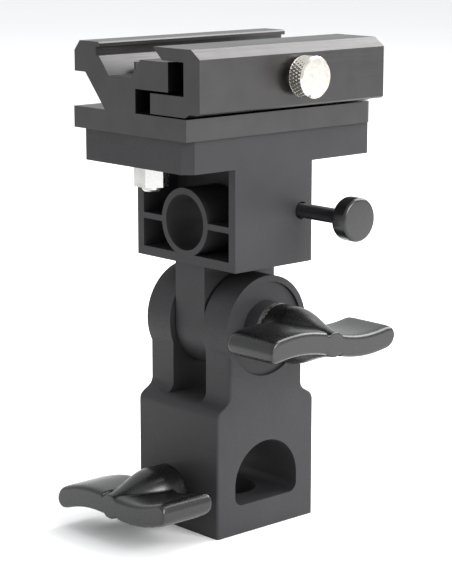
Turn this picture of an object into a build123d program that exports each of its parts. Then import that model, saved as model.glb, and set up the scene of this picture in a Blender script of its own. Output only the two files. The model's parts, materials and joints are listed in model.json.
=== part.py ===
"""Umbrella swivel bracket: a stand clamp with a fork, a tilting head with an umbrella tube,
and a clamping flash shoe on top.

Frame: millimetres, +Z up.  The origin is the centre of the mouth of the stand socket, in the
flat bottom of the base.  The umbrella tube and the shoe run along Y, the tilt axis runs along X.
"""
from build123d import *

import os
from math import pi, sin, sqrt

os.makedirs("parts", exist_ok=True)

# ---------------------------------------------------------------- driving dimensions
RUN = 0.03                  # radial clearance of a shaft that turns or slides in a hole
SLIP = 0.15                 # radial clearance of a screw that only passes through
CLEAR = 0.3                 # radial clearance of a turning screw outside its insert

# base moulding
BASE_X = 32.0               # width along the tilt axis
BASE_Y = 35.0
SHOULDER_Z = 32.3           # top of the full-width block
NECK_Z = 38.2               # where the shoulders have run into the ears
FORK_FLOOR_Z = 35.4
HINGE_Z = 54.6
EAR_HEAD_R = 14.25          # round head of an ear
EAR_HALF_Y = 13.1           # half width of an ear below its head
FORK_GAP = 13.2
EAR_RECESS_R = 12.6
EAR_RECESS = 0.8
EAR_BOSS_R = 7.6
EAR_BOSS_X = 19.6           # outer face of the boss under the tilt knob

# sockets for the light stand
SPIGOT_D = 15.9             # 5/8 inch stand spigot
SOCKET_R = SPIGOT_D / 2 + 0.2
SOCKET_DEPTH = 29.0
CROSS_WIDTH = 22.4          # D-shaped cross hole
CROSS_HEIGHT = 16.3
CROSS_Z = 7.8               # its flat floor
CROSS_CORNER = 2.6

# head moulding
TONGUE_R = 12.6
TONGUE_X0, TONGUE_X1 = -6.1, 5.5
BLOCK_X0, BLOCK_X1 = -18.5, 20.3
BLOCK_Y0, BLOCK_Y1 = -15.2, 12.0
BLOCK_Z = 72.0
FLANGE_X0 = -22.5
FLANGE_Y0, FLANGE_Y1 = -31.2, 32.8
FLANGE_Z0, FLANGE_Z1 = 98.7, 107.2
FLANGE_CORNER = 2.4         # chamfer of its two corners at -Y
WALL = 2.5                  # side and bottom walls round the open cells
CELL_WEB = 3.0              # solid web across the block at its middle
TUBE_X, TUBE_Z = 0.6, 82.8
TUBE_R, TUBE_BORE_R = 9.1, 7.4
RIB = 1.6                   # ribs from the tube to the side walls

# shoe rail, an extrusion along Y
RAIL_Y0, RAIL_Y1 = -32.7, 33.1
PLATE_X0, PLATE_X1 = -23.0, 21.6
PLATE_Z = 112.8             # top of the rail's base plate
SEAT_Z = 126.4              # where the flash foot rests
FOOT_T = 2.0                # thickness of a standard flash foot, which is 18.6 wide
SLOT_BACK_X = -13.6         # fixed side of the foot
HOOK_X = -22.5
HOOK_TOP_Z = 129.9
TROUGH_Z = 121.6
TROUGH_X0, TROUGH_X1 = -8.4, 0.3
RAIL_TONGUE_X0, RAIL_TONGUE_X1 = 4.1, 14.8
RAIL_TONGUE_Z = 119.0       # its underside
RAIL_NECK_X = 2.1
LEDGE_X, LIP_X = -12.4, -12.2
HOOK_UNDER_Z = 121.9
ARM_FOOT_X = -10.2
PLATE_CORNER = 2.2          # round corners of the plate at +Y
RAIL_TAP_X = 3.2            # bottom of the thumbscrew's tapped hole

# sliding jaw, an extrusion along Y, drawn at rest
JAW_Y0, JAW_Y1 = -32.7, 32.0
JAW_WALL_X0, JAW_WALL_X1 = 20.6, 26.6
JAW_TOP_Z = 130.0
JAW_LIP_X = 9.3             # tip of the upper lip
JAW_FOOT_X = 7.9            # tip of the lower lip
JAW_FOOT_Z0, JAW_FOOT_Z1 = 113.2, 118.4
JAW_UNDER_Z = 126.75

# screws
M4_R, M5_R, M6_R = 2.0, 2.5, 3.0

# wing knobs
KNOB_SPAN = 44.4            # tip to tip
KNOB_LENGTH = 16.4          # of the wings, along the axis
KNOB_THICK = 6.2            # of a wing
KNOB_WAVE = 1.5             # rise and fall of the wing's S shape
KNOB_HUB_R, KNOB_NOSE_R = 7.5, 3.6
KNOB_HUB_BACK = 4.2         # the hub stands this far behind the wings
KNOB_INSERT_R, KNOB_INSERT_L = 4.5, 10.0
KNOB_BORE_DEPTH = 13.0

TILT_HEAD_X, TILT_HEAD_H = -15.8, 4.0
TILT_HEAD_FLATS = 10.0
TILT_BOLT_END = 30.6
WASHER_TILT_R = 7.5
FRICTION_R = 9.5
TILT_KNOB_X = 20.8          # back end of the tilt knob's hub
TILT_KNOB_TURN = -2.0       # degrees, how the wings lie at rest
STAND_KNOB_Y = -20.5        # back end of the stand knob's hub
STAND_SCREW_Z = 10.6
STAND_KNOB_TURN = 8.0
STAND_TIP_Y = -10.4         # end of the pressure tip at rest
STAND_INSERT_R = 4.6
STAND_INSERT_Y = -15.0      # outer end of the insert
PAD_L = 2.0                 # length of a screw's pressure pad

# umbrella lock screw
LOCK_Y, LOCK_Z = 8.4, 85.8
LOCK_TIP_X = 8.3            # end of the pressure tip at rest
LOCK_KNOB_X0, LOCK_KNOB_X1 = 36.2, 41.4
LOCK_KNOB_R = 5.7
LOCK_INSERT_R = 2.8
LOCK_INSERT_X0, LOCK_INSERT_X1 = 11.4, 18.3
LOCK_BOSS_R = 3.6           # half height of the solid rib round the insert

# shoe thumbscrew
THUMB_Y, THUMB_Z = 0.6, 121.9
THUMB_HEAD_R = 5.3
THUMB_X0, THUMB_X1 = 28.2, 33.2
THUMB_TIP_X = 9.2
RING_R = 3.7                # retaining ring on its shank
RING_GAP = 0.3              # round the ring in its counterbore
RING_GROOVE_R = 1.7
RING_X0, RING_X1 = 20.85, 21.45

# screws that hold the rail to the head
FIX_X = -4.05
FIX_Y = (-22.4, 23.4)
FIX_HEAD_R, FIX_HEAD_H = 4.25, 3.3
FIX_SLOT_W, FIX_SLOT_DEPTH = 1.2, 1.3
FIX_END_Z = 91.4
NUT_FLATS, NUT_H = 8.0, 5.0
WASHER_R, WASHER_H = 5.0, 1.0


def label_and_write(builder, name):
    """Name a finished piece and write it as its own STEP file."""
    builder.part.label = name
    export_step(builder.part, f"parts/{name}.step")


# ---------------------------------------------------------------- base moulding
def ear_outline():
    """Outline of the base seen along X: block, S-shaped shoulders, ears with round heads."""
    half = BASE_Y / 2
    drop = sqrt(EAR_HEAD_R**2 - EAR_HALF_Y**2)
    waist_z = HINGE_Z - drop
    mid_z = (SHOULDER_Z + NECK_Z) / 2
    mid_y = (half + EAR_HALF_Y) / 2
    with BuildLine() as line:
        Polyline((-half, SHOULDER_Z), (-half, 0), (half, 0), (half, SHOULDER_Z))
        Spline((half, SHOULDER_Z), (mid_y, mid_z), (EAR_HALF_Y, NECK_Z), tangents=((0, 1), (0, 1)))
        Line((EAR_HALF_Y, NECK_Z), (EAR_HALF_Y, waist_z))
        ThreePointArc((EAR_HALF_Y, waist_z), (0, HINGE_Z + EAR_HEAD_R), (-EAR_HALF_Y, waist_z))
        Line((-EAR_HALF_Y, waist_z), (-EAR_HALF_Y, NECK_Z))
        Spline((-EAR_HALF_Y, NECK_Z), (-mid_y, mid_z), (-half, SHOULDER_Z), tangents=((0, -1), (0, -1)))
    return line.line


with BuildPart() as base_body:
    with BuildSketch(Plane.YZ.offset(-BASE_X / 2)):
        with BuildLine():
            add(ear_outline())
        make_face()
    extrude(amount=BASE_X)
    fillet(base_body.edges().filter_by(Axis.Z).group_by(Axis.Z)[0], 0.8)
    # the slot between the ears, with a rounded floor
    with BuildSketch(Plane.XZ.offset(-BASE_Y)):
        with Locations((0, FORK_FLOOR_Z + 30)):
            Rectangle(FORK_GAP, 60)
    extrude(amount=2 * BASE_Y, mode=Mode.SUBTRACT)
    # round boss under the tilt knob, standing in a shallow round recess
    with BuildSketch(Plane.YZ.offset(BASE_X / 2 - EAR_RECESS)):
        with Locations((0, HINGE_Z)):
            Circle(EAR_RECESS_R)
    extrude(amount=EAR_RECESS, mode=Mode.SUBTRACT)
    with BuildSketch(Plane.YZ.offset(BASE_X / 2 - EAR_RECESS)):
        with Locations((0, HINGE_Z)):
            Circle(EAR_BOSS_R)
    extrude(amount=EAR_BOSS_X - BASE_X / 2 + EAR_RECESS)
    # bolt hole through both ears, and the hexagonal pocket for the bolt's head
    with BuildSketch(Plane.YZ.offset(-BASE_X)):
        with Locations((0, HINGE_Z)):
            Circle(M6_R + RUN)
    extrude(amount=2 * BASE_X, mode=Mode.SUBTRACT)
    with BuildSketch(Plane.YZ.offset(-BASE_X / 2)):
        with Locations((0, HINGE_Z)):
            RegularPolygon(TILT_HEAD_FLATS / 2 + 0.05, 6, major_radius=False)
    extrude(amount=TILT_HEAD_H + 0.2, mode=Mode.SUBTRACT)
    # stand socket from below
    with BuildSketch(Plane.XY):
        Circle(SOCKET_R)
    extrude(amount=SOCKET_DEPTH, mode=Mode.SUBTRACT)
    # D-shaped cross hole: a round arch on a flat floor with rounded corners
    with BuildSketch(Plane.YZ.offset(-BASE_X)) as cross_hole:
        with BuildLine():
            half = CROSS_WIDTH / 2
            spring_z = CROSS_Z + 5.2
            Polyline((-half, spring_z), (-half, CROSS_Z), (half, CROSS_Z), (half, spring_z))
            ThreePointArc((half, spring_z), (0, CROSS_Z + CROSS_HEIGHT), (-half, spring_z))
        make_face()
        fillet(cross_hole.vertices().group_by(Axis.Y)[0], CROSS_CORNER)
    extrude(amount=2 * BASE_X, mode=Mode.SUBTRACT)
    # seat of the stand clamp's threaded insert, and a way through for its screw
    with BuildSketch(Plane.XZ.offset(CROSS_WIDTH / 2 - 0.2)):
        with Locations((0, STAND_SCREW_Z)):
            Circle(STAND_INSERT_R)
    extrude(amount=-STAND_INSERT_Y - CROSS_WIDTH / 2 + 0.2, mode=Mode.SUBTRACT)
    with BuildSketch(Plane.XZ):
        with Locations((0, STAND_SCREW_Z)):
            Circle(M6_R + CLEAR)
    extrude(amount=BASE_Y / 2, mode=Mode.SUBTRACT)
label_and_write(base_body, "base_body")


# ---------------------------------------------------------------- turned and hexagonal pieces
def turned(name, plane, outline):
    """Revolve an outline of (distance along the axis, radius) points about the plane's x axis."""
    with BuildPart() as piece:
        with BuildSketch(plane):
            with BuildLine():
                Polyline(*outline, close=True)
            make_face()
        revolve(axis=Axis(plane.origin, plane.x_dir))
    piece.part.label = name
    return piece


def along_x(y, z):
    """Working plane whose x axis is the line along +X through (y, z)."""
    return Plane(origin=(0, y, z), x_dir=(1, 0, 0), z_dir=(0, -1, 0))


def along_y(x, z):
    """Working plane whose x axis is the line along -Y through (x, z)."""
    return Plane(origin=(x, 0, z), x_dir=(0, -1, 0), z_dir=(-1, 0, 0))


def bush(name, plane, start, end, outer, inner):
    """A plain ring between two stations on the plane's x axis."""
    outline = [(start, inner), (start, outer), (end, outer), (end, inner)]
    label_and_write(turned(name, plane, outline), name)


TILT_LINE = along_x(0, HINGE_Z)
STAND_LINE = along_y(0, STAND_SCREW_Z)
LOCK_LINE = along_x(LOCK_Y, LOCK_Z)
THUMB_LINE = along_x(THUMB_Y, THUMB_Z)


# ---------------------------------------------------------------- wing knob
def wave(u):
    """Height of the wing's middle line at u along the span: one S, high on the left."""
    return -KNOB_WAVE * sin(pi * u / (KNOB_SPAN / 2))


def wing_knob(name, axis_plane, start, turn):
    """A hub that narrows to its nose, crossed by one S-shaped wing.

    axis_plane's x axis is the knob's axis and points away from the work; start is the station
    of the hub's back end on it; turn is how far the wings lie from level, in degrees.
    """
    origin = axis_plane.origin + axis_plane.x_dir * start
    hub_plane = Plane(origin=origin, x_dir=axis_plane.x_dir, z_dir=axis_plane.z_dir)
    level_dir = Vector(0, 0, 1).cross(axis_plane.x_dir)
    span_dir = level_dir.rotate(Axis((0, 0, 0), axis_plane.x_dir), turn)
    back = Plane(origin=origin, x_dir=span_dir, z_dir=axis_plane.x_dir)
    length = KNOB_HUB_BACK + KNOB_LENGTH
    half, thick = KNOB_SPAN / 2, KNOB_THICK / 2
    with BuildPart() as knob:
        with BuildSketch(hub_plane):
            with BuildLine():
                Polyline((length, 0), (0, 0), (0, KNOB_HUB_R), (KNOB_HUB_BACK + 1, KNOB_HUB_R))
                Spline(
                    (KNOB_HUB_BACK + 1, KNOB_HUB_R),
                    (length * 0.62, (KNOB_HUB_R + KNOB_NOSE_R) / 2),
                    (length, KNOB_NOSE_R),
                    tangents=((1, 0), (1, -0.1)),
                )
                Line((length, KNOB_NOSE_R), (length, 0))
            make_face()
        revolve(axis=Axis(origin, axis_plane.x_dir))
        with BuildSketch(back.offset(KNOB_HUB_BACK)):
            stations = [u * (half - thick) / 2 for u in (-2, -1, 0, 1, 2)]
            with BuildLine():
                top = Spline(*[(u, wave(u) + thick) for u in stations])
                bottom = Spline(*[(u, wave(u) - thick) for u in stations])
                ThreePointArc(top @ 0, (-half, wave(-half + thick)), bottom @ 0)
                ThreePointArc(top @ 1, (half, wave(half - thick)), bottom @ 1)
            make_face()
        extrude(amount=KNOB_LENGTH)
        with BuildSketch(hub_plane):
            with BuildLine():
                Polyline((-1, 0), (-1, KNOB_INSERT_R), (KNOB_INSERT_L, KNOB_INSERT_R),
                         (KNOB_INSERT_L, M6_R + SLIP), (KNOB_BORE_DEPTH, M6_R + SLIP),
                         (KNOB_BORE_DEPTH, 0), close=True)
            make_face()
        revolve(axis=Axis(origin, axis_plane.x_dir), mode=Mode.SUBTRACT)
    label_and_write(knob, name)


wing_knob("tilt_knob", TILT_LINE, TILT_KNOB_X, TILT_KNOB_TURN)
wing_knob("stand_clamp_knob", STAND_LINE, -STAND_KNOB_Y, STAND_KNOB_TURN)
bush("tilt_knob_insert", TILT_LINE, TILT_KNOB_X, TILT_KNOB_X + KNOB_INSERT_L,
     KNOB_INSERT_R, M6_R + RUN)
bush("stand_clamp_knob_insert", STAND_LINE, -STAND_KNOB_Y, -STAND_KNOB_Y + KNOB_INSERT_L,
     KNOB_INSERT_R, M6_R)

# ---------------------------------------------------------------- tilt axis
with BuildPart() as tilt_bolt:
    with BuildSketch(Plane.YZ.offset(TILT_HEAD_X)):
        with Locations((0, HINGE_Z)):
            RegularPolygon(TILT_HEAD_FLATS / 2, 6, major_radius=False)
    extrude(amount=TILT_HEAD_H)
    with BuildSketch(Plane.YZ.offset(TILT_HEAD_X)):
        with Locations((0, HINGE_Z)):
            Circle(M6_R)
    extrude(amount=TILT_BOLT_END - TILT_HEAD_X)
    chamfer(tilt_bolt.faces().sort_by(Axis.X)[-1].edges(), 0.6)
label_and_write(tilt_bolt, "tilt_bolt")

bush("tilt_washer", TILT_LINE, EAR_BOSS_X + 0.05, TILT_KNOB_X - 0.05, WASHER_TILT_R, M6_R + RUN)
bush("friction_disc_left", TILT_LINE, -FORK_GAP / 2, TONGUE_X0 - 0.05, FRICTION_R, M6_R + RUN)
bush("friction_disc_right", TILT_LINE, TONGUE_X1 + 0.05, FORK_GAP / 2, FRICTION_R, M6_R + RUN)

# ---------------------------------------------------------------- stand clamp
bush("stand_clamp_insert", STAND_LINE, CROSS_WIDTH / 2 + 0.2, -STAND_INSERT_Y,
     STAND_INSERT_R, M6_R + RUN)
stand_screw = turned("stand_clamp_screw", STAND_LINE, [
    (-STAND_TIP_Y + PAD_L, 0), (-STAND_TIP_Y + PAD_L, M6_R - 0.5),
    (-STAND_TIP_Y + PAD_L + 0.5, M6_R), (-STAND_KNOB_Y + KNOB_INSERT_L, M6_R),
    (-STAND_KNOB_Y + KNOB_INSERT_L, 0),
])
label_and_write(stand_screw, "stand_clamp_screw")
stand_pad = turned("stand_clamp_pad", STAND_LINE, [
    (-STAND_TIP_Y, 0), (-STAND_TIP_Y, M6_R - 0.9), (-STAND_TIP_Y + 0.4, M6_R - 0.5),
    (-STAND_TIP_Y + PAD_L - 0.05, M6_R - 0.5), (-STAND_TIP_Y + PAD_L - 0.05, 0),
])
label_and_write(stand_pad, "stand_clamp_pad")

# ---------------------------------------------------------------- head moulding
with BuildPart() as head_body:
    # tongue between the ears
    with BuildSketch(Plane.YZ.offset(TONGUE_X0)):
        with Locations((0, HINGE_Z)):
            Circle(TONGUE_R)
        with Locations((0, (HINGE_Z + BLOCK_Z + WALL) / 2)):
            Rectangle(2 * TONGUE_R, BLOCK_Z + WALL - HINGE_Z)
    extrude(amount=TONGUE_X1 - TONGUE_X0)
    # block round the umbrella tube
    with BuildSketch(Plane.XY.offset(BLOCK_Z)):
        with Locations(((BLOCK_X0 + BLOCK_X1) / 2, (BLOCK_Y0 + BLOCK_Y1) / 2)):
            Rectangle(BLOCK_X1 - BLOCK_X0, BLOCK_Y1 - BLOCK_Y0)
    extrude(amount=FLANGE_Z0 - BLOCK_Z + 1)
    # flange under the shoe rail
    with BuildSketch(Plane.XY.offset(FLANGE_Z0)) as flange_outline:
        with Locations(((FLANGE_X0 + BLOCK_X1) / 2, (FLANGE_Y0 + FLANGE_Y1) / 2)):
            Rectangle(BLOCK_X1 - FLANGE_X0, FLANGE_Y1 - FLANGE_Y0)
        chamfer(flange_outline.vertices().group_by(Axis.Y)[0], FLANGE_CORNER)
    extrude(amount=FLANGE_Z1 - FLANGE_Z0)
    # open cells from both ends of the block; the rib under the lock screw is a thick one
    cell_depth = (BLOCK_Y1 - BLOCK_Y0 - CELL_WEB) / 2
    cell_ends = (
        (BLOCK_Y0, -cell_depth, TUBE_Z, RIB),
        (BLOCK_Y1, cell_depth, LOCK_Z, 2 * LOCK_BOSS_R),
    )
    for end_y, depth, rib_z, rib_h in cell_ends:
        with BuildSketch(Plane.XZ.offset(-end_y)):
            with Locations(((BLOCK_X0 + BLOCK_X1) / 2, (BLOCK_Z + WALL + FLANGE_Z0) / 2)):
                Rectangle(BLOCK_X1 - BLOCK_X0 - 2 * WALL, FLANGE_Z0 - BLOCK_Z - WALL)
            with Locations((TUBE_X, TUBE_Z)):
                Circle(TUBE_R, mode=Mode.SUBTRACT)
            with Locations(((BLOCK_X0 + TUBE_X) / 2, TUBE_Z)):
                Rectangle(TUBE_X - BLOCK_X0, RIB, mode=Mode.SUBTRACT)
            with Locations(((BLOCK_X1 + TUBE_X) / 2, rib_z)):
                Rectangle(BLOCK_X1 - TUBE_X, rib_h, mode=Mode.SUBTRACT)
        extrude(amount=depth, mode=Mode.SUBTRACT)
    # bore of the umbrella tube
    with BuildSketch(Plane.XZ.offset(-BASE_Y)):
        with Locations((TUBE_X, TUBE_Z)):
            Circle(TUBE_BORE_R)
    extrude(amount=2 * BASE_Y, mode=Mode.SUBTRACT)
    # bore of the tilt axis
    with BuildSketch(Plane.YZ.offset(TONGUE_X0)):
        with Locations((0, HINGE_Z)):
            Circle(M6_R + RUN)
    extrude(amount=TONGUE_X1 - TONGUE_X0, mode=Mode.SUBTRACT)
    # the lock screw's way into the tube, the seat of its insert, and its way out
    lock_bores = (
        (TUBE_X, LOCK_INSERT_X0, M4_R + RUN),
        (LOCK_INSERT_X0, LOCK_INSERT_X1, LOCK_INSERT_R),
        (LOCK_INSERT_X1, BLOCK_X1, M4_R + CLEAR),
    )
    for start_x, end_x, radius in lock_bores:
        with BuildSketch(Plane.YZ.offset(start_x)):
            with Locations((LOCK_Y, LOCK_Z)):
                Circle(radius)
        extrude(amount=end_x - start_x, mode=Mode.SUBTRACT)
    # holes for the screws that hold the rail
    with BuildSketch(Plane.XY.offset(FLANGE_Z0)):
        with Locations(*[(FIX_X, y) for y in FIX_Y]):
            Circle(M5_R + SLIP)
    extrude(amount=FLANGE_Z1 - FLANGE_Z0, mode=Mode.SUBTRACT)
label_and_write(head_body, "head_body")

# ---------------------------------------------------------------- umbrella lock screw
bush("umbrella_lock_insert", LOCK_LINE, LOCK_INSERT_X0, LOCK_INSERT_X1, LOCK_INSERT_R, M4_R + RUN)
lock_screw = turned("umbrella_lock_screw", LOCK_LINE, [
    (LOCK_TIP_X + PAD_L, 0), (LOCK_TIP_X + PAD_L, M4_R - 0.4), (LOCK_TIP_X + PAD_L + 0.4, M4_R),
    (LOCK_KNOB_X1 - 1.2, M4_R), (LOCK_KNOB_X1 - 1.2, 0),
])
label_and_write(lock_screw, "umbrella_lock_screw")
lock_knob = turned("umbrella_lock_knob", LOCK_LINE, [
    (LOCK_KNOB_X0, M4_R), (LOCK_KNOB_X0, LOCK_KNOB_R - 1.6), (LOCK_KNOB_X0 + 1.3, LOCK_KNOB_R),
    (LOCK_KNOB_X1 - 0.8, LOCK_KNOB_R), (LOCK_KNOB_X1, LOCK_KNOB_R - 0.8), (LOCK_KNOB_X1, 0),
    (LOCK_KNOB_X1 - 1.2, 0), (LOCK_KNOB_X1 - 1.2, M4_R),
])
label_and_write(lock_knob, "umbrella_lock_knob")
lock_pad = turned("umbrella_lock_pad", LOCK_LINE, [
    (LOCK_TIP_X, 0), (LOCK_TIP_X, M4_R - 0.7), (LOCK_TIP_X + 0.3, M4_R - 0.4),
    (LOCK_TIP_X + PAD_L - 0.05, M4_R - 0.4), (LOCK_TIP_X + PAD_L - 0.05, 0),
])
label_and_write(lock_pad, "umbrella_lock_pad")

# ---------------------------------------------------------------- shoe rail
with BuildPart() as shoe_rail:
    with BuildSketch(Plane.XZ.offset(-RAIL_Y1)):
        with BuildLine():
            Polyline(
                (PLATE_X0, FLANGE_Z1), (PLATE_X1, FLANGE_Z1), (PLATE_X1, PLATE_Z),
                (RAIL_NECK_X, PLATE_Z), (RAIL_NECK_X, RAIL_TONGUE_Z), (RAIL_TONGUE_X1, RAIL_TONGUE_Z),
                (RAIL_TONGUE_X1, SEAT_Z), (RAIL_TONGUE_X0, SEAT_Z), (TROUGH_X1, TROUGH_Z),
                (TROUGH_X0, TROUGH_Z), (LEDGE_X, SEAT_Z), (SLOT_BACK_X, SEAT_Z),
                (SLOT_BACK_X, SEAT_Z + FOOT_T + 0.2), (LIP_X, SEAT_Z + FOOT_T + 0.2),
                (LIP_X, HOOK_TOP_Z - 0.4), (LIP_X - 0.4, HOOK_TOP_Z), (HOOK_X + 2.2, HOOK_TOP_Z),
                (HOOK_X, HOOK_TOP_Z - 2.6), (HOOK_X, HOOK_UNDER_Z), (HOOK_X + 4.4, HOOK_UNDER_Z),
                (ARM_FOOT_X, PLATE_Z), (PLATE_X0, PLATE_Z), close=True,
            )
        make_face()
    extrude(amount=RAIL_Y1 - RAIL_Y0)
    far_corners = shoe_rail.edges().filter_by(Axis.Z).group_by(Axis.Y)[-1]
    fillet(far_corners.filter_by_position(Axis.Z, FLANGE_Z1, PLATE_Z), PLATE_CORNER)
    with BuildSketch(Plane.XY.offset(FLANGE_Z1)):
        with Locations(*[(FIX_X, y) for y in FIX_Y]):
            Circle(M5_R + SLIP)
    extrude(amount=TROUGH_Z - FLANGE_Z1, mode=Mode.SUBTRACT)
    with BuildSketch(Plane.YZ.offset(RAIL_TAP_X)):
        with Locations((THUMB_Y, THUMB_Z)):
            Circle(M4_R + RUN)
    extrude(amount=RAIL_TONGUE_X1 - RAIL_TAP_X, mode=Mode.SUBTRACT)
label_and_write(shoe_rail, "shoe_rail")

# ---------------------------------------------------------------- sliding jaw
with BuildPart() as shoe_jaw:
    with BuildSketch(Plane.XZ.offset(-JAW_Y1)):
        with BuildLine():
            Polyline(
                (JAW_LIP_X, JAW_TOP_Z), (JAW_LIP_X, JAW_TOP_Z - 0.3), (JAW_LIP_X + 3.3, JAW_UNDER_Z),
                (JAW_WALL_X0, JAW_UNDER_Z), (JAW_WALL_X0, JAW_FOOT_Z1), (JAW_FOOT_X, JAW_FOOT_Z1),
                (JAW_FOOT_X, JAW_FOOT_Z0), (JAW_WALL_X0 + 0.6, JAW_FOOT_Z0),
                (JAW_WALL_X0 + 2, JAW_FOOT_Z0 + 0.9), (JAW_WALL_X1 - 0.5, JAW_FOOT_Z0 + 0.9),
                (JAW_WALL_X1, JAW_FOOT_Z0 + 1.4), (JAW_WALL_X1, JAW_TOP_Z - 2.3),
                (JAW_WALL_X1 - 3.3, JAW_TOP_Z), close=True,
            )
        make_face()
    extrude(amount=JAW_Y1 - JAW_Y0)
    with BuildSketch(Plane.YZ.offset(JAW_WALL_X0)):
        with Locations((THUMB_Y, THUMB_Z)):
            Circle(M4_R + RUN)
    extrude(amount=JAW_WALL_X1 - JAW_WALL_X0, mode=Mode.SUBTRACT)
    with BuildSketch(Plane.YZ.offset(JAW_WALL_X0)):
        with Locations((THUMB_Y, THUMB_Z)):
            Circle(RING_R + RING_GAP)
    extrude(amount=RING_X1 + 0.1 - JAW_WALL_X0, mode=Mode.SUBTRACT)
label_and_write(shoe_jaw, "shoe_jaw")

shoe_thumbscrew = turned("shoe_thumbscrew", THUMB_LINE, [
    (THUMB_TIP_X, 0), (THUMB_TIP_X, M4_R - 0.4), (THUMB_TIP_X + 0.4, M4_R), (RING_X0, M4_R),
    (RING_X0, RING_GROOVE_R), (RING_X1, RING_GROOVE_R), (RING_X1, M4_R),
    (JAW_WALL_X1 + 0.1, M4_R), (JAW_WALL_X1 + 0.1, 3.4), (THUMB_X0, 3.4),
    (THUMB_X0, THUMB_HEAD_R - 0.5), (THUMB_X0 + 0.5, THUMB_HEAD_R),
    (THUMB_X1 - 0.5, THUMB_HEAD_R), (THUMB_X1, THUMB_HEAD_R - 0.5), (THUMB_X1, 0),
])
label_and_write(shoe_thumbscrew, "shoe_thumbscrew")
bush("shoe_retaining_ring", THUMB_LINE, RING_X0, RING_X1, RING_R, RING_GROOVE_R)

# ---------------------------------------------------------------- screws, washers, nuts of the rail
fix_spots = [(FIX_X, y) for y in FIX_Y]
with BuildPart() as fixing_screws:
    with BuildSketch(Plane.XY.offset(FIX_END_Z)):
        with Locations(*fix_spots):
            Circle(M5_R)
    extrude(amount=TROUGH_Z - FIX_END_Z)
    chamfer(fixing_screws.faces().sort_by(Axis.Z)[:2].edges(), 0.5)
    with BuildSketch(Plane.XY.offset(TROUGH_Z)):
        with Locations(*fix_spots):
            Circle(FIX_HEAD_R)
    extrude(amount=FIX_HEAD_H)
    with BuildSketch(Plane.XY.offset(TROUGH_Z + FIX_HEAD_H)):
        with Locations(*fix_spots):
            Rectangle(FIX_SLOT_W, 2 * FIX_HEAD_R + 1)
    extrude(amount=-FIX_SLOT_DEPTH, mode=Mode.SUBTRACT)
label_and_write(fixing_screws, "shoe_fixing_screws")

with BuildPart() as fixing_washers:
    with BuildSketch(Plane.XY.offset(FLANGE_Z0 - WASHER_H)):
        with Locations(*fix_spots):
            Circle(WASHER_R)
            Circle(M5_R + SLIP, mode=Mode.SUBTRACT)
    extrude(amount=WASHER_H)
label_and_write(fixing_washers, "shoe_fixing_washers")

with BuildPart() as fixing_nuts:
    with BuildSketch(Plane.XY.offset(FLANGE_Z0 - WASHER_H - NUT_H)):
        with Locations(*fix_spots):
            RegularPolygon(NUT_FLATS / 2, 6, major_radius=False)
            Circle(M5_R, mode=Mode.SUBTRACT)
    extrude(amount=NUT_H)
label_and_write(fixing_nuts, "shoe_fixing_nuts")
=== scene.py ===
"""Looks of the umbrella swivel bracket, built round its CAD frame.

Lengths are metres in the frame's own axes: +Z up, the tilt axis along X, the shoe along Y.
"""
import json
import math

import bmesh
import bpy
import numpy as np
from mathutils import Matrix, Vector


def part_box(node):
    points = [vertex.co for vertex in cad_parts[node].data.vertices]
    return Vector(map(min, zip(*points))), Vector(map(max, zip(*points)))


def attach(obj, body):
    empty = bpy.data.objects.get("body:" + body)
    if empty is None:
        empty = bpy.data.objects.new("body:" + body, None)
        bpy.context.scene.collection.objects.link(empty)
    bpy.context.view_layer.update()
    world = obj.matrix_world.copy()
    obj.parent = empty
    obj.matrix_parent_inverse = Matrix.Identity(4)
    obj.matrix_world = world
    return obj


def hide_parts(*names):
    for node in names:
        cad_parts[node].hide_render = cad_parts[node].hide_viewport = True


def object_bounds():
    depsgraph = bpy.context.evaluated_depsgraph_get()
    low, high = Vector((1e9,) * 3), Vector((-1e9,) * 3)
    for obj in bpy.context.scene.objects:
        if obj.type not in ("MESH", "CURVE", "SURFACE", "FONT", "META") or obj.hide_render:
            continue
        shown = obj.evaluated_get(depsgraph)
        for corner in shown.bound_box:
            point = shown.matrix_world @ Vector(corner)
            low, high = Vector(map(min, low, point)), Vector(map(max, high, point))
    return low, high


bl_info = {
    "name": "Umbrella swivel bracket",
    "version": (1, 0, 0),
    "blender": (4, 5, 0),
    "location": "View3D > Sidebar > Bracket",
    "description": "Builds the pieces, finishes and stage of an umbrella swivel bracket",
    "category": "Add Mesh",
}

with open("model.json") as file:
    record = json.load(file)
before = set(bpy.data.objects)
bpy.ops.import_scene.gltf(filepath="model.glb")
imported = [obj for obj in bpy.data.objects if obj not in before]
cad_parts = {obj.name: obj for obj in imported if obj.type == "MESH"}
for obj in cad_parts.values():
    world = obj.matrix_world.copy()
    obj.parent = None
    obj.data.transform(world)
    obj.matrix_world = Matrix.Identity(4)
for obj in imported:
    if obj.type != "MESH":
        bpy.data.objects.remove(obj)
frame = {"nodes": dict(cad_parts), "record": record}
CAD_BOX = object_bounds()
NODES = frame["nodes"]
MM = 0.001

# sizes in millimetres: the wing knobs
HUB_BACK = 4.2              # the hub of a wing knob stands this far behind its wings
HUB_R, NOSE_R = 7.5, 3.3    # the nose is 0.3 mm slimmer than in the CAD node
HUB_FLAT = 1.0              # straight stretch of the hub in front of the wings' back edge
WING_ROOT = 2.5             # where a wing starts, measured from the knob's axis
SECTION_POWER = 8.0         # of the superellipse that is a wing's section
BORE_R, BORE_DEPTH = 3.15, 13.0
INSERT_R, INSERT_DEPTH = 4.5, 10.0

# the screws
M4_R, M6_R = 2.0, 3.0
M4_PITCH, M6_PITCH = 0.7, 1.0
M4_POINT, M6_POINT = 0.45, 0.5      # length of the cone at a screw's tip
THREAD_PER_PITCH = 0.54     # depth of a metric thread, as a share of its pitch

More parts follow.
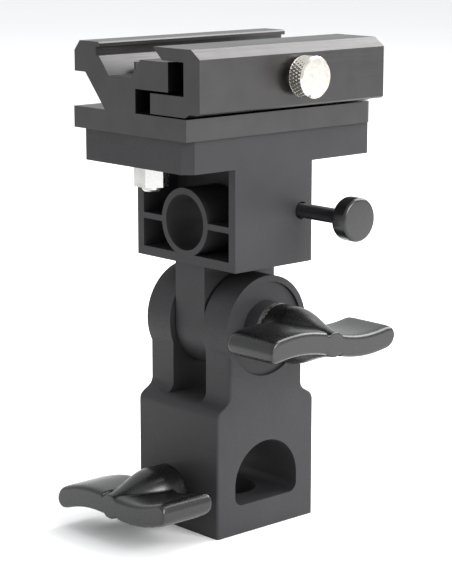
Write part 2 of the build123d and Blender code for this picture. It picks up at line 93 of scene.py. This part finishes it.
# the thumbscrew
HEAD_R, HEAD_LENGTH = 5.3, 5.0      # its knurled head
HEAD_CHAMFER = 0.5
KNURL_LEAN = 1.5            # radians that the knurl's wave shifts in a millimetre along the head
COLLAR_R, GROOVE_R = 3.4, 1.7       # behind that head, and under the retaining ring
COLLAR_GAP = 0.1            # between the jaw's outer face and the collar
THREAD_END = 0.3            # the thread stops this far from the groove
SHARP = 0.01                # distance between two corners that make one step

# the lock knob
LOCK_R = 5.7
LOCK_BACK, LOCK_FRONT = 1.4, 0.9    # reach of its round ends, which are chamfers in the CAD node
LOCK_BORE_END = 1.2         # thickness of the knob in front of its screw

# how finely the surfaces are divided
ROUND_SIDES, ROD_SIDES = 96, 48     # points round a knob, and round a threaded rod
WING_STATIONS, HUB_STATIONS, BEND_STATIONS = 90, 80, 16
STATIONS_PER_PITCH = 8
POINTS_PER_RIDGE = 8
SCREW_STEP = 0.08           # most millimetres between two rings of the thumbscrew

# how meshes are cleaned and smoothed
MERGE_WITHIN = 0.002        # millimetres
FLAT_WITHIN = 1.0           # degrees: faces that lie this close to one plane are joined
BEVEL_ABOVE = 35.0          # degrees: an edge that turns more than this is rounded
BEVEL_SEGMENTS = 2
SHARP_ABOVE, KNOB_SHARP_ABOVE = 30.0, 60.0      # degrees: shading breaks at such an edge
EASE_FACTOR, EASE_TIMES = 0.5, 6    # smoothing of the wing knobs after they are melted together


# ---------------------------------------------------------------- settings
class BracketSizes(bpy.types.PropertyGroup):
    """Sizes that the finishing pieces are worked out from."""

    moulded_edge: bpy.props.FloatProperty(
        name="Moulded edge", description="Radius on the edges of the plastic mouldings",
        default=0.45 * MM, unit="LENGTH", precision=5)
    extruded_edge: bpy.props.FloatProperty(
        name="Extruded edge", description="Radius on the edges of the aluminium extrusions",
        default=0.22 * MM, unit="LENGTH", precision=5)
    wing_span: bpy.props.FloatProperty(
        name="Wing span", description="Tip to tip across a wing knob",
        default=44.4 * MM, unit="LENGTH", precision=5)
    wing_thickness: bpy.props.FloatProperty(
        name="Wing thickness", description="Thickness of a wing",
        default=6.2 * MM, unit="LENGTH", precision=5)
    wing_wave: bpy.props.FloatProperty(
        name="Wing wave", description="Rise and fall of the wing's S shape",
        default=1.5 * MM, unit="LENGTH", precision=5)
    knob_voxel: bpy.props.FloatProperty(
        name="Knob detail", description="Mesh size of the wing knobs, which rounds their edges",
        default=0.26 * MM, unit="LENGTH", precision=5)
    tilt_knob_turn: bpy.props.FloatProperty(
        name="Tilt knob turn", description="How far its wings lie from level, in degrees", default=-2.0)
    stand_knob_turn: bpy.props.FloatProperty(
        name="Stand knob turn", description="How far its wings lie from level, in degrees", default=8.0)
    knurl_depth: bpy.props.FloatProperty(
        name="Knurl depth", description="Depth of the thumbscrew's knurling",
        default=0.28 * MM, unit="LENGTH", precision=5)
    knurl_count: bpy.props.IntProperty(
        name="Knurl count", description="Ridges round the thumbscrew's head", default=34, min=8)


class BracketColours(bpy.types.PropertyGroup):
    """Colours of the finishes, as sRGB hex values."""

    moulding: bpy.props.StringProperty(
        name="Moulding", description="Glass-filled nylon of the base and head", default="#29282a")
    knob: bpy.props.StringProperty(
        name="Knob", description="Black plastic of the knobs", default="#0b0b0c")
    anodised: bpy.props.StringProperty(
        name="Anodised", description="Dark anodised aluminium of the shoe", default="#4a4949")
    zinc: bpy.props.StringProperty(
        name="Zinc", description="Bright zinc plate", default="#c9c9c6")
    nickel: bpy.props.StringProperty(
        name="Nickel", description="Nickel plate of the thumbscrew", default="#dcd8d0")
    black_oxide: bpy.props.StringProperty(
        name="Black oxide", description="Blackened steel of the lock screw", default="#232324")
    brass: bpy.props.StringProperty(
        name="Brass", description="Turned brass of the threaded inserts", default="#c9a55c")
    fibre: bpy.props.StringProperty(
        name="Fibre", description="Pressed fibre of the friction discs", default="#3b3733")
    floor: bpy.props.StringProperty(
        name="Floor", description="Pale studio floor", default="#fafafa")


def sizes():
    """The scene's bracket sizes."""
    return bpy.context.scene.bracket_sizes


def colours():
    """The scene's bracket colours."""
    return bpy.context.scene.bracket_colours


# ---------------------------------------------------------------- materials
NOISE_LOW, NOISE_HIGH = 0.3, 0.7    # the middle part of a noise, where nearly all of it lies


def linear(hex_code):
    """sRGB hex to linear RGBA: c / 12.92 below 0.04045, else ((c + 0.055) / 1.055) ** 2.4."""
    code = hex_code.lstrip("#")
    srgb = np.array([int(code[i:i + 2], 16) for i in (0, 2, 4)]) / 255.0
    rgb = np.where(srgb <= 0.04045, srgb / 12.92, ((srgb + 0.055) / 1.055) ** 2.4)
    return (float(rgb[0]), float(rgb[1]), float(rgb[2]), 1.0)


def add_node(tree, kind, settings=None, inputs=None, links=None):
    """Add a node, set its properties and input values, and link (input, node, output) triples."""
    node = tree.nodes.new(kind)
    for key, value in (settings or {}).items():
        setattr(node, key, value)
    for key, value in (inputs or {}).items():
        node.inputs[key].default_value = value
    for key, source, output in links or ():
        tree.links.new(source.outputs[output], node.inputs[key])
    return node


def new_material(name):
    """An empty node material with its output, a Principled shader and Object coordinates."""
    material = bpy.data.materials.new(name)
    material.use_nodes = True
    tree = material.node_tree
    tree.nodes.clear()
    coords = add_node(tree, "ShaderNodeTexCoord")
    shader = add_node(tree, "ShaderNodeBsdfPrincipled")
    add_node(tree, "ShaderNodeOutputMaterial", links=[("Surface", shader, "BSDF")])
    return material, tree, coords, shader


def grain(tree, coords, size_mm, stretch=(1.0, 1.0, 1.0)):
    """Noise whose features are size_mm across, drawn out along an axis where stretch is over 1."""
    scale = tuple(1.0 / (size_mm * MM * s) for s in stretch)
    place = add_node(tree, "ShaderNodeMapping", inputs={"Scale": scale},
                     links=[("Vector", coords, "Object")])
    return add_node(tree, "ShaderNodeTexNoise", inputs={"Scale": 1.0, "Detail": 3.0},
                    links=[("Vector", place, "Vector")])


def lay_finish(tree, shader, cloud, skin, hex_code, shade, gloss, relief_mm, strength):
    """Lay a colour, a roughness and a relief on a shader, each varied by a noise.

    The cloud darkens the colour to shade times itself at most. The skin spreads the roughness
    between the two values of gloss, and raises the surface by relief_mm at most.
    """
    full = linear(hex_code)
    dark = (full[0] * shade, full[1] * shade, full[2] * shade, 1.0)
    share = add_node(tree, "ShaderNodeMapRange", inputs={"From Min": NOISE_LOW, "From Max": NOISE_HIGH},
                     links=[("Value", cloud, "Fac")])
    tint = add_node(tree, "ShaderNodeMix", {"data_type": "RGBA"}, {"A": dark, "B": full},
                    [("Factor", share, "Result")])
    rough = add_node(tree, "ShaderNodeMapRange",
                     inputs={"From Min": NOISE_LOW, "From Max": NOISE_HIGH,
                             "To Min": gloss[0], "To Max": gloss[1]},
                     links=[("Value", skin, "Fac")])
    relief = add_node(tree, "ShaderNodeBump", inputs={"Strength": strength, "Distance": relief_mm * MM},
                      links=[("Height", skin, "Fac")])
    tree.links.new(tint.outputs["Result"], shader.inputs["Base Color"])
    tree.links.new(rough.outputs["Result"], shader.inputs["Roughness"])
    tree.links.new(relief.outputs["Normal"], shader.inputs["Normal"])


def moulded_nylon():
    """Glass-filled nylon, injection moulded in an eroded tool.

    It gives the eye a dry, dark grey skin with an even fine grain and faint cloudy flow marks.
    The tool's grain is 0.15 mm, drawn at 0.45 mm so that it shows.
    """
    material, tree, coords, shader = new_material("moulded_nylon")
    flow = grain(tree, coords, 9.0)
    skin = grain(tree, coords, 0.45)
    lay_finish(tree, shader, flow, skin, colours().moulding,
               shade=0.86, gloss=(0.48, 0.64), relief_mm=0.03, strength=0.5)
    shader.inputs["IOR"].default_value = 1.53
    shader.inputs["Specular IOR Level"].default_value = 0.3
    return material


def black_knob_plastic():
    """Black ABS, moulded in a polished tool.

    It gives the eye a near-black body with broad clear reflections and light handling marks.
    """
    material, tree, coords, shader = new_material("black_knob_plastic")
    marks = grain(tree, coords, 2.2)
    skin = grain(tree, coords, 0.9)
    lay_finish(tree, shader, marks, skin, colours().knob,
               shade=0.75, gloss=(0.26, 0.32), relief_mm=0.003, strength=0.15)
    shader.inputs["IOR"].default_value = 1.54
    return material


def anodised_aluminium():
    """Extruded aluminium, etched and anodised dark.

    It gives the eye a satin metal with faint die lines along the extrusion. Die lines are
    0.1 mm apart, drawn at 0.3 mm so that they show.
    """
    material, tree, coords, shader = new_material("anodised_aluminium")
    cloud = grain(tree, coords, 6.0)
    lines = grain(tree, coords, 0.3, stretch=(1.0, 60.0, 1.0))
    lay_finish(tree, shader, cloud, lines, colours().anodised,
               shade=0.88, gloss=(0.32, 0.44), relief_mm=0.012, strength=0.3)
    shader.inputs["Metallic"].default_value = 1.0
    return material


def plated_metal(name, hex_code, shade, gloss, size_mm):
    """A plated or turned metal: an even metal whose sheen varies softly over size_mm."""
    material, tree, coords, shader = new_material(name)
    cloud = grain(tree, coords, size_mm)
    lay_finish(tree, shader, cloud, cloud, hex_code, shade, gloss,
               relief_mm=0.008, strength=0.25)
    shader.inputs["Metallic"].default_value = 1.0
    return material


def bright_zinc():
    """Electroplated zinc: it gives the eye a bright cool metal in soft uneven patches."""
    return plated_metal("bright_zinc", colours().zinc, shade=0.8, gloss=(0.22, 0.38), size_mm=1.6)


def nickel():
    """Nickel over brass: it gives the eye a warm white mirror, slightly hazed."""
    return plated_metal("nickel", colours().nickel, shade=0.9, gloss=(0.14, 0.26), size_mm=1.2)


def black_oxide():
    """Oiled black oxide on steel: it gives the eye a nearly black screw with a dim metal sheen."""
    return plated_metal("black_oxide", colours().black_oxide,
                        shade=0.7, gloss=(0.3, 0.5), size_mm=1.0)


def turned_brass():
    """Turned brass: it gives the eye a yellow, half-bright metal."""
    return plated_metal("turned_brass", colours().brass, shade=0.85, gloss=(0.2, 0.34), size_mm=1.2)


def pressed_fibre():
    """Pressed fibre: it gives the eye a dull brown-black felted face with 0.4 mm flecks."""
    material, tree, coords, shader = new_material("pressed_fibre")
    fleck = grain(tree, coords, 0.4)
    lay_finish(tree, shader, fleck, fleck, colours().fibre,
               shade=0.6, gloss=(0.85, 0.95), relief_mm=0.04, strength=0.6)
    shader.inputs["IOR"].default_value = 1.45
    return material


def matt_white_board():
    """Matt painted board: it gives the eye a pale, even floor with no shine."""
    material, tree, coords, shader = new_material("matt_white_board")
    cloud = grain(tree, coords, 220.0)
    lay_finish(tree, shader, cloud, cloud, colours().floor,
               shade=0.985, gloss=(0.88, 0.92), relief_mm=0.01, strength=0.1)
    return material


# the record's slots, and the function that makes each one's finish
FINISHES = {
    "moulded_plastic": moulded_nylon,
    "knob_plastic": black_knob_plastic,
    "dark_aluminium": anodised_aluminium,
    "zinc_steel": bright_zinc,
    "nickel_plate": nickel,
    "black_steel": black_oxide,
    "brass": turned_brass,
    "fibre": pressed_fibre,
}


def finish_for(slot):
    """The material of one of the record's slots, made the first time it is asked for."""
    maker = FINISHES[slot]
    return bpy.data.materials.get(maker.__name__) or maker()


# ---------------------------------------------------------------- meshes
def slot_of(node):
    """The material slot that the record gives a node."""
    for row in frame["record"]["subparts"]:
        if row["node"] == node:
            return row["material_slot"]
    raise ValueError("no slot for " + node)


def body_with(node):
    """The moving body that a node belongs to."""
    for body, members in frame["record"]["behaviour"]["bodies"].items():
        if node in members:
            return body
    raise ValueError("no body for " + node)


def dress(obj, node):
    """Give a piece that stands for a node that node's body, slot and finish."""
    obj.data.materials.clear()
    obj.data.materials.append(finish_for(slot_of(node)))
    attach(obj, body_with(node))
    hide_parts(node)


def link_mesh(name, mesh, sharp_degrees=SHARP_ABOVE):
    """Put a mesh in the scene, smooth but for edges sharper than the angle given."""
    mesh.shade_smooth()
    mesh.set_sharp_from_angle(angle=math.radians(sharp_degrees))
    obj = bpy.data.objects.new(name, mesh)
    bpy.context.scene.collection.objects.link(obj)
    return obj


def mesh_of_rings(name, rings):
    """A closed surface from rings of points, each joined to the next, with a pole at each end.

    The poles are the middles of the first and last rings. The faces are turned round if the
    volume, the sum of a . (b x c) / 6 over the triangles of each face, comes out negative.
    """
    count, around = rings.shape[:2]
    points = np.vstack([rings.reshape(-1, 3), rings[0].mean(axis=0), rings[-1].mean(axis=0)])
    step = np.arange(around)
    ahead = (step + 1) % around
    row = np.arange(count - 1)[:, None] * around
    quads = np.stack([row + step, row + ahead, row + around + ahead, row + around + step], axis=-1)
    quads = quads.reshape(-1, 4)
    first, last = count * around, count * around + 1
    end = (count - 1) * around
    start_cap = np.stack([np.full(around, first), ahead, step], axis=-1)
    end_cap = np.stack([np.full(around, last), end + step, end + ahead], axis=-1)
    tris = np.vstack([start_cap, end_cap, quads[:, [0, 1, 2]], quads[:, [0, 2, 3]]])
    a, b, c = points[tris[:, 0]], points[tris[:, 1]], points[tris[:, 2]]
    volume = np.einsum("ij,ij->i", a, np.cross(b, c)).sum() / 6.0
    order = -1 if volume < 0 else 1
    faces = [group[:, ::order].tolist() for group in (quads, start_cap, end_cap)]
    mesh = bpy.data.meshes.new(name)
    mesh.from_pydata(points, [], faces[0] + faces[1] + faces[2])
    mesh.validate()
    return mesh


def turned_rings(origin, axis, stations, radii, around):
    """Rings round a level axis: origin + s * axis + r * (cos t * u + sin t * v).

    u lies level across the axis and v points up. radii is one radius per station, or one per
    station and angle.
    """
    axis = np.array(axis, float)
    side = np.array([0.0, 0.0, 1.0])
    across = np.cross(side, axis)
    turn = np.linspace(0.0, 2.0 * np.pi, around, endpoint=False)
    ring = np.cos(turn)[:, None] * across + np.sin(turn)[:, None] * side
    radii = np.broadcast_to(np.asarray(radii).reshape(len(stations), -1), (len(stations), around))
    centre = np.array(origin, float) + np.asarray(stations)[:, None] * axis
    return centre[:, None, :] + radii[:, :, None] * ring[None, :, :]


def profile_radius(profile, stations):
    """Radius at each station on a profile of (station, radius) corners, straight between them."""
    corners = np.array(profile)
    return np.interp(stations, corners[:, 0], corners[:, 1])


def thread_cut(stations, turn, pitch, depth):
    """Depth cut by a right-hand thread: depth times a triangle wave of s / pitch - t / (2 pi)."""
    phase = stations[:, None] / pitch - turn[None, :] / (2.0 * np.pi)
    return depth * np.abs(2.0 * (phase % 1.0) - 1.0)


def dense_stations(profile, step):
    """Every corner of a profile, with stations at most a step apart in between."""
    corners = np.array(profile)[:, 0]
    between = np.arange(corners[0], corners[-1], step)
    return np.unique(np.concatenate([corners, between]))


def softened_copy(node, edge):
    """A copy of a CAD node's mesh with its points merged and its edges rounded by a bevel."""
    mesh = NODES[node].data.copy()
    mesh.name = node + "_finished"
    work = bmesh.new()
    work.from_mesh(mesh)
    bmesh.ops.remove_doubles(work, verts=work.verts, dist=MERGE_WITHIN * MM)
    bmesh.ops.dissolve_limit(work, angle_limit=math.radians(FLAT_WITHIN),
                             verts=work.verts, edges=work.edges)
    work.to_mesh(mesh)
    work.free()
    obj = link_mesh(node + "_finished", mesh)
    bevel = obj.modifiers.new("edges", "BEVEL")
    bevel.width = edge
    bevel.segments = BEVEL_SEGMENTS
    bevel.limit_method = "ANGLE"
    bevel.angle_limit = math.radians(BEVEL_ABOVE)
    bevel.use_clamp_overlap = True
    bevel.harden_normals = True
    return obj


def axis_of(node, along):
    """A point on a turned node's axis: the middle of its box, at 0 along the axis."""
    low, high = (np.array(c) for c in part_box(node))
    middle = (low + high) / 2.0
    middle[along] = 0.0
    return middle


def ends_of(node, along):
    """Where a node's box begins and ends along an axis."""
    low, high = (np.array(c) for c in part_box(node))
    return low[along], high[along]


# ---------------------------------------------------------------- pieces
class BRACKET_OT_mouldings(bpy.types.Operator):
    """Finish the base and the head as nylon mouldings with softened edges"""

    bl_idname = "bracket.mouldings"
    bl_label = "Mouldings"

    def execute(self, context):
        for node in ("base_body", "head_body"):
            dress(softened_copy(node, sizes().moulded_edge), node)
        return {"FINISHED"}


class BRACKET_OT_shoe(bpy.types.Operator):
    """Finish the shoe's rail and jaw as anodised extrusions"""

    bl_idname = "bracket.shoe"
    bl_label = "Shoe"

    def execute(self, context):
        for node in ("shoe_rail", "shoe_jaw"):
            dress(softened_copy(node, sizes().extruded_edge), node)
        return {"FINISHED"}


def wing_rings(origin, axis, level, turn_degrees, side, length):
    """One wing of a knob, as rings across the span from inside the hub out to the tip.

    At a distance u from the axis the wing's middle lies at -wave * sin(2 pi u / span). Its
    section is a superellipse |a|**8 + |b|**8 = 1, as high as the wing is thick and as long as
    the length given: flat faces with small round edges. Over the last half thickness its height
    shrinks as sqrt(1 - w**3), w running from 0 to just under 1, which leaves a blunt round tip.
    """
    axis, level = np.array(axis, float), np.array(level, float)
    up = np.array([0.0, 0.0, 1.0])
    angle = math.radians(turn_degrees)
    across = math.cos(angle) * level + math.sin(angle) * up
    rise = -math.sin(angle) * level + math.cos(angle) * up
    half, thick = sizes().wing_span / 2.0, sizes().wing_thickness / 2.0
    u = side * np.linspace(WING_ROOT * MM, half, WING_STATIONS)
    middle = -sizes().wing_wave * np.sin(2.0 * np.pi * u / sizes().wing_span)
    last = np.clip((np.abs(u) - (half - thick)) / thick, 0.0, 0.999)
    shrink = np.sqrt(1.0 - last**3)
    t = np.linspace(0.0, 2.0 * np.pi, ROUND_SIDES, endpoint=False)
    along = np.sign(np.cos(t)) * np.abs(np.cos(t))**(2.0 / SECTION_POWER)
    above = np.sign(np.sin(t)) * np.abs(np.sin(t))**(2.0 / SECTION_POWER)
    depth = HUB_BACK * MM + length / 2.0 * (1.0 + along[None, :])
    height = middle[:, None] + (thick * shrink)[:, None] * above[None, :]
    return (np.array(origin, float) + u[:, None, None] * across
            + depth[:, :, None] * axis + height[:, :, None] * rise)


def hub_rings(origin, axis, total):
    """A wing knob's hollow hub, as rings from its nose to its back end and down its bore.

    In front of the wings' back edge its radius runs from the hub's to the nose's along the
    smooth step w**2 * (3 - 2 w).
    """
    straight = (HUB_BACK + HUB_FLAT) * MM
    outside = np.linspace(total, 0.0, HUB_STATIONS)
    way = np.clip((outside - straight) / (total - straight), 0.0, 1.0)
    outer = (HUB_R + (NOSE_R - HUB_R) * way**2 * (3.0 - 2.0 * way)) * MM
    bore = np.array([(0.0, INSERT_R), (INSERT_DEPTH, INSERT_R),
                     (INSERT_DEPTH, BORE_R), (BORE_DEPTH, BORE_R)])
    stations = np.concatenate([outside, bore[:, 0] * MM])
    radii = np.concatenate([outer, bore[:, 1] * MM])
    return turned_rings(origin, axis, stations, radii, ROUND_SIDES)


def wing_knob(node, origin, axis, level, turn_degrees, total):
    """A wing knob: a hollow hub that narrows to its nose, melted into two S-shaped wings.

    A voxel remesh joins the three closed surfaces into one, and smoothing rounds their meeting.
    """
    length = total - HUB_BACK * MM
    rings = [hub_rings(origin, axis, total)]
    rings += [wing_rings(origin, axis, level, turn_degrees, side, length) for side in (-1.0, 1.0)]
    shell = bmesh.new()
    for surface in rings:
        part = mesh_of_rings(node + "_part", surface)
        shell.from_mesh(part)
        bpy.data.meshes.remove(part)
    mesh = bpy.data.meshes.new(node + "_source")
    shell.to_mesh(mesh)
    shell.free()
    source = bpy.data.objects.new(node + "_source", mesh)
    bpy.context.scene.collection.objects.link(source)
    melt = source.modifiers.new("melt", "REMESH")
    melt.mode = "VOXEL"
    melt.voxel_size = sizes().knob_voxel
    ease = source.modifiers.new("ease", "SMOOTH")
    ease.factor = EASE_FACTOR
    ease.iterations = EASE_TIMES
    graph = bpy.context.evaluated_depsgraph_get()
    finished = bpy.data.meshes.new_from_object(source.evaluated_get(graph))
    bpy.data.objects.remove(source)
    bpy.data.meshes.remove(mesh)
    finished.name = node + "_finished"
    dress(link_mesh(node + "_finished", finished, KNOB_SHARP_ABOVE), node)


class BRACKET_OT_wing_knobs(bpy.types.Operator):
    """Build the two black wing knobs"""

    bl_idname = "bracket.wing_knobs"
    bl_label = "Wing knobs"

    def execute(self, context):
        # a wing makes its knob's box uneven, so the axes come from the round pieces beside them
        low, high = ends_of("tilt_knob", 0)
        wing_knob("tilt_knob", axis_of("tilt_washer", 0) + (low, 0.0, 0.0), (1, 0, 0), (0, 1, 0),
                  sizes().tilt_knob_turn, high - low)
        low, high = ends_of("stand_clamp_knob", 1)
        wing_knob("stand_clamp_knob", axis_of("stand_clamp_screw", 1) + (0.0, high, 0.0),
                  (0, -1, 0), (1, 0, 0), sizes().stand_knob_turn, high - low)
        return {"FINISHED"}


def threaded_rod(node, along, away, radius, pitch, point):
    """A threaded rod with a cone at its tip, in the place of a CAD screw.

    away is the direction of its stations, from its tip to its end.
    """
    tip, end = sorted(place * away[along] / MM for place in ends_of(node, along))
    profile = [(tip, radius - point), (tip + point, radius), (end, radius)]
    stations = dense_stations(profile, pitch / STATIONS_PER_PITCH)
    turn = np.linspace(0.0, 2.0 * np.pi, ROD_SIDES, endpoint=False)
    cut = thread_cut(stations, turn, pitch, THREAD_PER_PITCH * pitch)
    cut = np.where((stations > tip + point)[:, None], cut, 0.0)
    radii = profile_radius(profile, stations)[:, None] - cut
    rings = turned_rings(axis_of(node, along), away, stations * MM, radii * MM, ROD_SIDES)
    dress(link_mesh(node + "_finished", mesh_of_rings(node, rings)), node)


class BRACKET_OT_thumbscrew(bpy.types.Operator):
    """Build the shoe's knurled thumbscrew with its threaded shank"""

    bl_idname = "bracket.thumbscrew"
    bl_label = "Thumbscrew"

    def execute(self, context):
        tip, end = (place / MM for place in ends_of("shoe_thumbscrew", 0))
        groove = [place / MM for place in ends_of("shoe_retaining_ring", 0)]
        collar = ends_of("shoe_jaw", 0)[1] / MM + COLLAR_GAP
        back = end - HEAD_LENGTH
        edge = HEAD_CHAMFER
        profile = [
            (tip, M4_R - M4_POINT), (tip + M4_POINT, M4_R),
            (groove[0] - SHARP, M4_R), (groove[0], GROOVE_R),
            (groove[1], GROOVE_R), (groove[1] + SHARP, M4_R),
            (collar - SHARP, M4_R), (collar, COLLAR_R), (back - SHARP, COLLAR_R),
            (back, HEAD_R - edge), (back + edge, HEAD_R), (end - edge, HEAD_R), (end, HEAD_R - edge),
        ]
        stations = dense_stations(profile, SCREW_STEP)
        around = sizes().knurl_count * POINTS_PER_RIDGE
        turn = np.linspace(0.0, 2.0 * np.pi, around, endpoint=False)
        shank = (stations > tip + M4_POINT) & (stations < groove[0] - THREAD_END)
        thread = thread_cut(stations, turn, M4_PITCH, THREAD_PER_PITCH * M4_PITCH)
        grip = (stations > back + edge) & (stations < end - edge)
        # diamond knurl: two crossing families of ridges |sin(wave + lean)| and |sin(wave - lean)|,
        # of which the higher stands at each point
        wave = sizes().knurl_count * turn[None, :] / 2.0
        lean = (stations[:, None] - back) * KNURL_LEAN
        ridge = np.maximum(np.abs(np.sin(wave + lean)), np.abs(np.sin(wave - lean)))
        knurl = sizes().knurl_depth / MM * (1.0 - ridge)
        cut = np.where(shank[:, None], thread, 0.0) + np.where(grip[:, None], knurl, 0.0)
        radii = profile_radius(profile, stations)[:, None] - cut
        middle = axis_of("shoe_thumbscrew", 0)
        rings = turned_rings(middle, (1, 0, 0), stations * MM, radii * MM, around)
        mesh = mesh_of_rings("shoe_thumbscrew", rings)
        dress(link_mesh("shoe_thumbscrew_finished", mesh), "shoe_thumbscrew")
        return {"FINISHED"}


class BRACKET_OT_lock(bpy.types.Operator):
    """Build the umbrella lock's threaded screw and its round knob"""

    bl_idname = "bracket.lock"
    bl_label = "Umbrella lock"

    def execute(self, context):
        threaded_rod("umbrella_lock_screw", 0, (1, 0, 0), M4_R, M4_PITCH, M4_POINT)
        low, high = ends_of("umbrella_lock_knob", 0)
        length = (high - low) / MM
        # a barrel whose ends are quarter ellipses, closed at the front and bored for its screw
        bend = np.sin(np.linspace(0.0, np.pi / 2.0, BEND_STATIONS))
        back_s, back_r = LOCK_BACK * (1.0 - bend[::-1]), LOCK_R - LOCK_BACK * (1.0 - bend)
        front_s = length - LOCK_FRONT * (1.0 - bend)
        front_r = LOCK_R - LOCK_FRONT * (1.0 - bend[::-1])
        stations = np.concatenate([[length - LOCK_BORE_END, 0.0], back_s, front_s])
        radii = np.concatenate([[M4_R, M4_R], back_r, front_r])
        middle = axis_of("umbrella_lock_knob", 0)
        rings = turned_rings(middle, (1, 0, 0), low + stations * MM, radii * MM, ROUND_SIDES)
        mesh = mesh_of_rings("umbrella_lock_knob", rings)
        dress(link_mesh("umbrella_lock_knob_finished", mesh), "umbrella_lock_knob")
        return {"FINISHED"}


class BRACKET_OT_stand_screw(bpy.types.Operator):
    """Build the stand clamp's threaded screw"""

    bl_idname = "bracket.stand_screw"
    bl_label = "Stand clamp screw"

    def execute(self, context):
        threaded_rod("stand_clamp_screw", 1, (0, -1, 0), M6_R, M6_PITCH, M6_POINT)
        return {"FINISHED"}


class BRACKET_OT_small_parts(bpy.types.Operator):
    """Give every CAD piece the finish of its slot, those among them that are replaced later too"""

    bl_idname = "bracket.small_parts"
    bl_label = "Small parts"

    def execute(self, context):
        for name, obj in NODES.items():
            obj.data.materials.clear()
            obj.data.materials.append(finish_for(slot_of(name)))
        return {"FINISHED"}


# ---------------------------------------------------------------- stage
FLOOR_REACH = 4.0           # metres from the middle of the floor to its edges
SKY_COLOUR, SKY_STRENGTH = "#f6f7f8", 1.0
KEY_PLACE, KEY_SIZE, KEY_POWER = (0.9, 0.1, 0.5), 0.5, 10.0
BACK_PLACE, BACK_SIZE, BACK_POWER = (0.16, 0.7, 0.78), 0.8, 16.0
CAMERA_PLACE, CAMERA_AIM = (0.3758, -0.3404, 0.1678), (0.0, 0.0, 0.062)
CAMERA_LENS, CAMERA_SENSOR = 118.7, 36.0        # millimetres


def area_light(name, place, aim, size, power):
    """A square soft light at a place, facing a point."""
    data = bpy.data.lights.new(name, "AREA")
    data.shape = "SQUARE"
    data.size = size
    data.energy = power
    lamp = bpy.data.objects.new(name, data)
    lamp.location = place
    lamp.rotation_euler = (Vector(aim) - Vector(place)).to_track_quat("-Z", "Y").to_euler()
    bpy.context.scene.collection.objects.link(lamp)


class BRACKET_OT_stage(bpy.types.Operator):
    """Lay the pale floor, and set the soft lights and the camera"""

    bl_idname = "bracket.stage"
    bl_label = "Stage"

    def execute(self, context):
        mesh = bpy.data.meshes.new("floor")
        corners = [(-1, -1), (1, -1), (1, 1), (-1, 1)]
        mesh.from_pydata([(x * FLOOR_REACH, y * FLOOR_REACH, 0.0) for x, y in corners],
                         [], [(0, 1, 2, 3)])
        mesh.materials.append(matt_white_board())
        floor = bpy.data.objects.new("floor", mesh)
        bpy.context.scene.collection.objects.link(floor)

        world = bpy.data.worlds.new("studio")
        world.use_nodes = True
        background = world.node_tree.nodes["Background"]
        background.inputs["Color"].default_value = linear(SKY_COLOUR)
        background.inputs["Strength"].default_value = SKY_STRENGTH
        context.scene.world = world
        context.scene.view_settings.view_transform = "Standard"

        middle = (Vector(CAD_BOX[0]) + Vector(CAD_BOX[1])) / 2.0
        area_light("key", KEY_PLACE, middle, KEY_SIZE, KEY_POWER)
        area_light("back", BACK_PLACE, middle, BACK_SIZE, BACK_POWER)

        data = bpy.data.cameras.new("camera")
        data.lens = CAMERA_LENS
        data.sensor_width = CAMERA_SENSOR
        camera = bpy.data.objects.new("camera", data)
        camera.location = CAMERA_PLACE
        toward = Vector(CAMERA_AIM) - camera.location
        camera.rotation_euler = toward.to_track_quat("-Z", "Y").to_euler()
        context.scene.collection.objects.link(camera)
        context.scene.camera = camera
        return {"FINISHED"}


# ---------------------------------------------------------------- panel and registration
STEPS = ("small_parts", "mouldings", "shoe", "wing_knobs", "thumbscrew", "lock", "stand_screw", "stage")


class BRACKET_PT_panel(bpy.types.Panel):
    """Lists the bracket's building steps, sizes and colours"""

    bl_label = "Umbrella swivel bracket"
    bl_idname = "BRACKET_PT_panel"
    bl_space_type = "VIEW_3D"
    bl_region_type = "UI"
    bl_category = "Bracket"

    def draw(self, context):
        for step in STEPS:
            self.layout.operator("bracket." + step)
        for group in (context.scene.bracket_sizes, context.scene.bracket_colours):
            for name in group.__annotations__:
                self.layout.prop(group, name)


CLASSES = (
    BracketSizes, BracketColours, BRACKET_OT_small_parts, BRACKET_OT_mouldings, BRACKET_OT_shoe,
    BRACKET_OT_wing_knobs, BRACKET_OT_thumbscrew, BRACKET_OT_lock, BRACKET_OT_stand_screw,
    BRACKET_OT_stage, BRACKET_PT_panel,
)


def register():
    """Register the classes and hang the settings on the scene."""
    for cls in CLASSES:
        bpy.utils.register_class(cls)
    bpy.types.Scene.bracket_sizes = bpy.props.PointerProperty(type=BracketSizes)
    bpy.types.Scene.bracket_colours = bpy.props.PointerProperty(type=BracketColours)


def unregister():
    """Undo register."""
    del bpy.types.Scene.bracket_colours
    del bpy.types.Scene.bracket_sizes
    for cls in reversed(CLASSES):
        bpy.utils.unregister_class(cls)


def main():
    """Build everything in order."""
    register()
    for step in STEPS:
        getattr(bpy.ops.bracket, step)()


if __name__ == "__main__":
    main()
